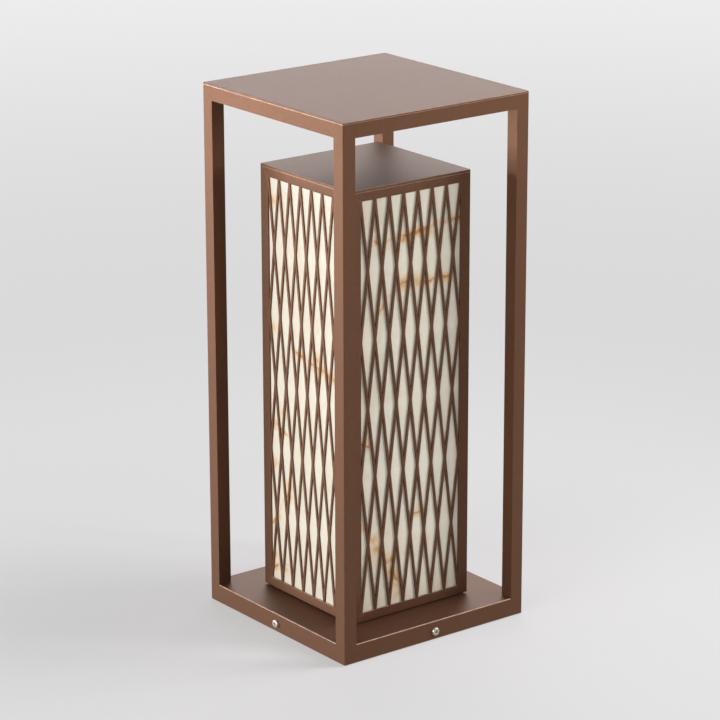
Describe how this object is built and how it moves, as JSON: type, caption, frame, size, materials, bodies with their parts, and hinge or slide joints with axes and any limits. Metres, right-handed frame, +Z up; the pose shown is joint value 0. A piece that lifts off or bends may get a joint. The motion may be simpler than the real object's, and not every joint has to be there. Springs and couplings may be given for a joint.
{
  "type": "floor lamp",
  "caption": "Square metal cage floor lamp with a closed inner lantern of diamond lattice panels over pale veined stone.",
  "frame": {"origin": "on the floor, under the middle of the square plan", "axes": "+Z up, -Y the front, which is the picture's right-hand face"},
  "size_m": [0.2554, 0.2554, 0.6],
  "materials": {
    "bronze_coat": "satin brown powder coat with a fine metallic grain",
    "onyx": "polished pale onyx with rust-orange veins",
    "stainless": "plain",
    "bare_steel": "zinc plated",
    "bare_aluminium": "mill finish",
    "rubber": "matte",
    "board": "white solder mask",
    "housing_plastic": "matte",
    "terminal_plastic": "matte"
  },
  "bodies": {
    "root": {"base_plate": "bare_steel", "base_tray": "bronze_coat", "cable_inlet": "rubber", "column_foot": "bare_aluminium", "corner_angle_back_left": "bronze_coat", "corner_angle_back_right": "bronze_coat", "corner_angle_front_left": "bronze_coat", "corner_angle_front_right": "bronze_coat", "driver": "housing_plastic", "foot_back_left": "rubber", "foot_back_right": "rubber", "foot_front_left": "rubber", "foot_front_right": "rubber", "gasket": "rubber", "lantern_cap": "bronze_coat", "lantern_floor": "bronze_coat", "lantern_screws": "stainless", "lattice_back": "bronze_coat", "lattice_front": "bronze_coat", "lattice_left": "bronze_coat", "lattice_right": "bronze_coat", "light_board_back": "board", "light_board_front": "board", "light_board_left": "board", "light_board_right": "board", "light_column": "bare_aluminium", "post_back_left": "bronze_coat", "post_back_right": "bronze_coat", "post_front_left": "bronze_coat", "post_front_right": "bronze_coat", "side_screws": "stainless", "stone_back": "onyx", "stone_front": "onyx", "stone_left": "onyx", "stone_retainer_back_left": "bare_aluminium", "stone_retainer_back_right": "bare_aluminium", "stone_retainer_front_left": "bare_aluminium", "stone_retainer_front_right": "bare_aluminium", "stone_right": "onyx", "terminal_block": "terminal_plastic", "top_plate": "bronze_coat", "top_rail_back": "bronze_coat", "top_rail_front": "bronze_coat", "top_rail_left": "bronze_coat", "top_rail_right": "bronze_coat"}
  },
  "joints": []
}
